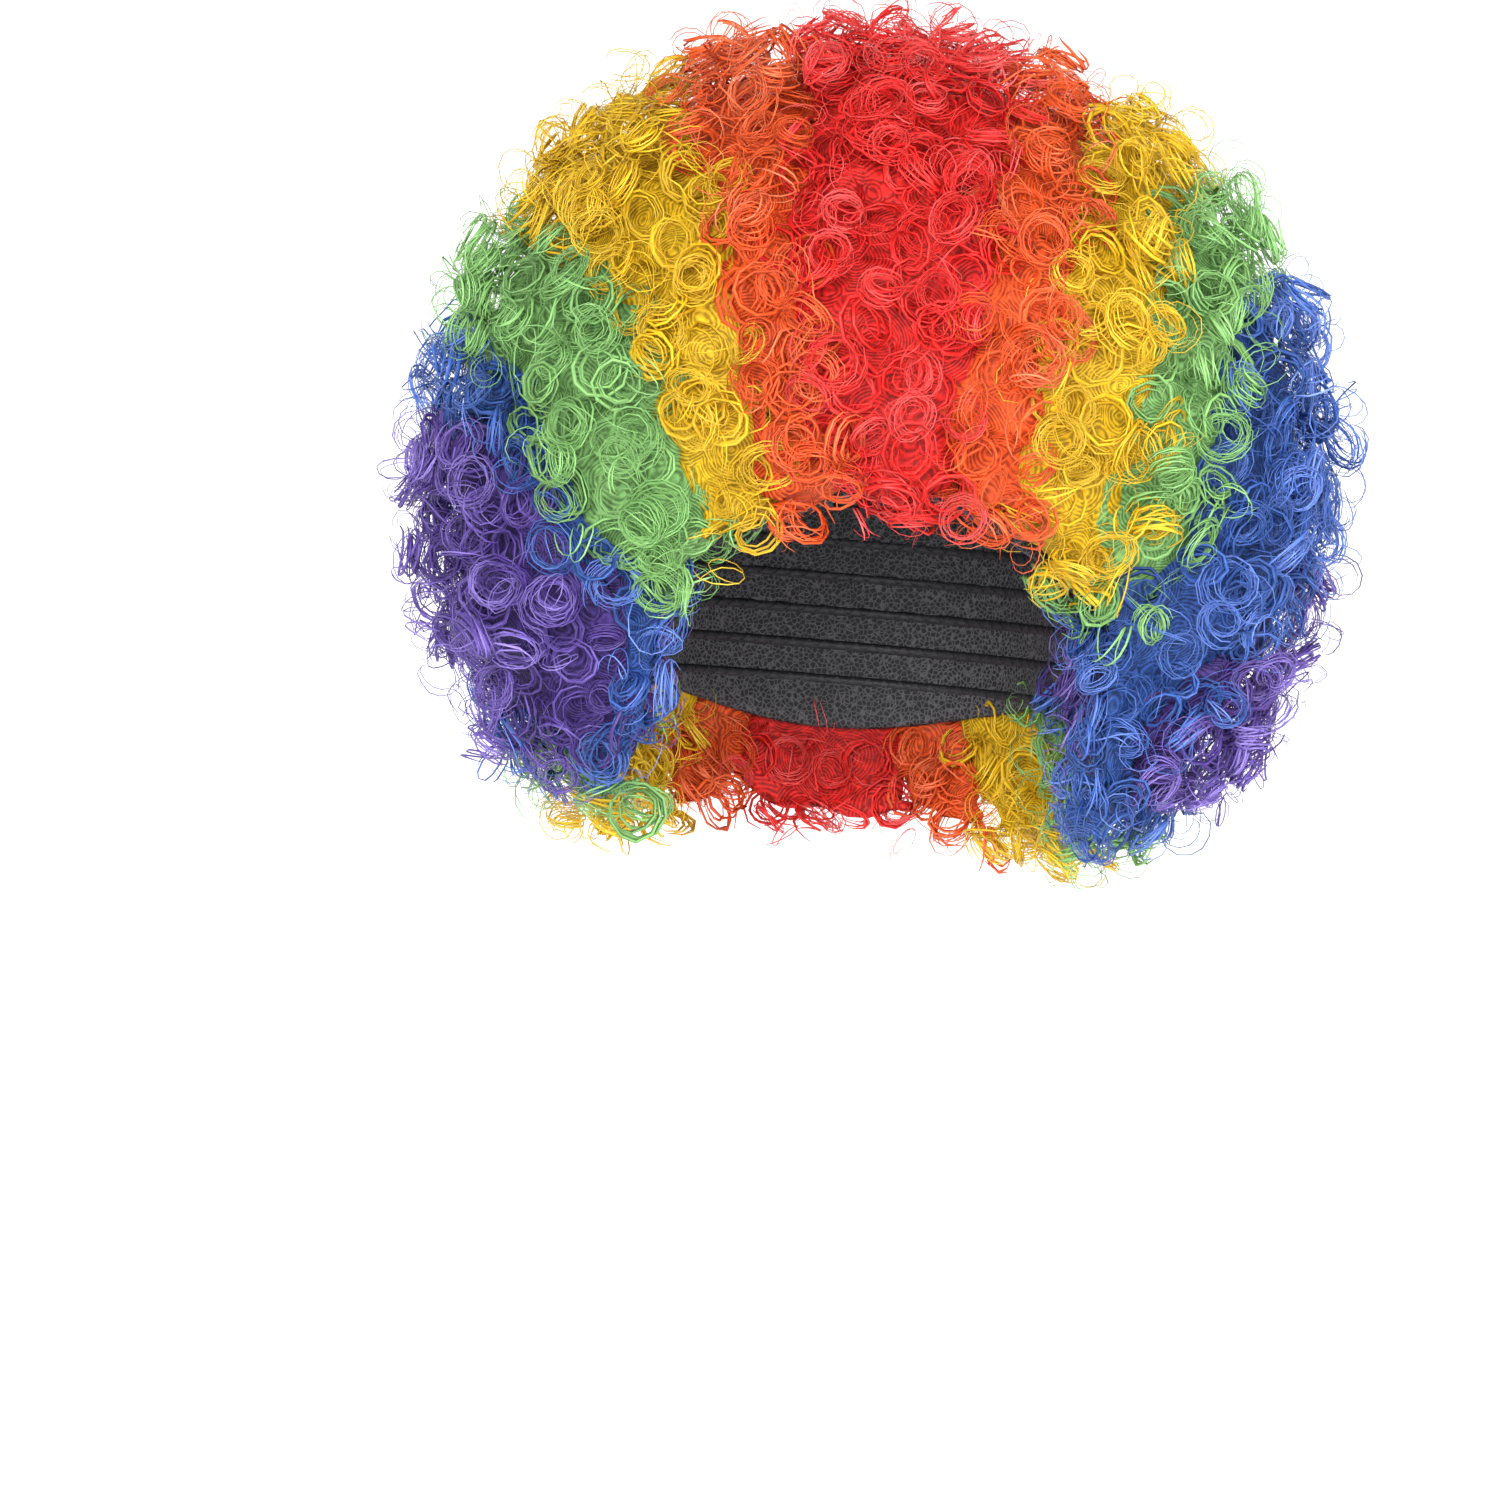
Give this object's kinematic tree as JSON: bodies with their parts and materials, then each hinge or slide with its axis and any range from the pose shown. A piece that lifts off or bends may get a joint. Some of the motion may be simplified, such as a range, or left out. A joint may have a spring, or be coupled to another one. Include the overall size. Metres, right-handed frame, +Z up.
{
  "type": "afro wig",
  "caption": "Round rainbow afro wig of tight curls, banded red, orange, yellow, green, blue and purple from the middle out, on a net cap that is open for the face and neck.",
  "frame": {"origin": "inside of the cap where the crown of the head touches it", "axes": "+Z up along the head, -Y towards the face opening, +X towards the right side of a picture taken from the front"},
  "size_m": [0.3318, 0.3008, 0.2914],
  "materials": {
    "cap_net": "matt stretch net",
    "hair_red": "satin curled fibre",
    "hair_orange": "satin curled fibre",
    "hair_yellow": "satin curled fibre",
    "hair_green": "satin curled fibre",
    "hair_blue": "satin curled fibre",
    "hair_purple": "satin curled fibre"
  },
  "bodies": {
    "root": {"cap": "cap_net", "hair_red": "hair_red", "hair_orange_left": "hair_orange", "hair_orange_right": "hair_orange", "hair_yellow_left": "hair_yellow", "hair_yellow_right": "hair_yellow", "hair_green_left": "hair_green", "hair_green_right": "hair_green", "hair_blue_left": "hair_blue", "hair_blue_right": "hair_blue", "hair_purple_left": "hair_purple", "hair_purple_right": "hair_purple"}
  },
  "joints": []
}
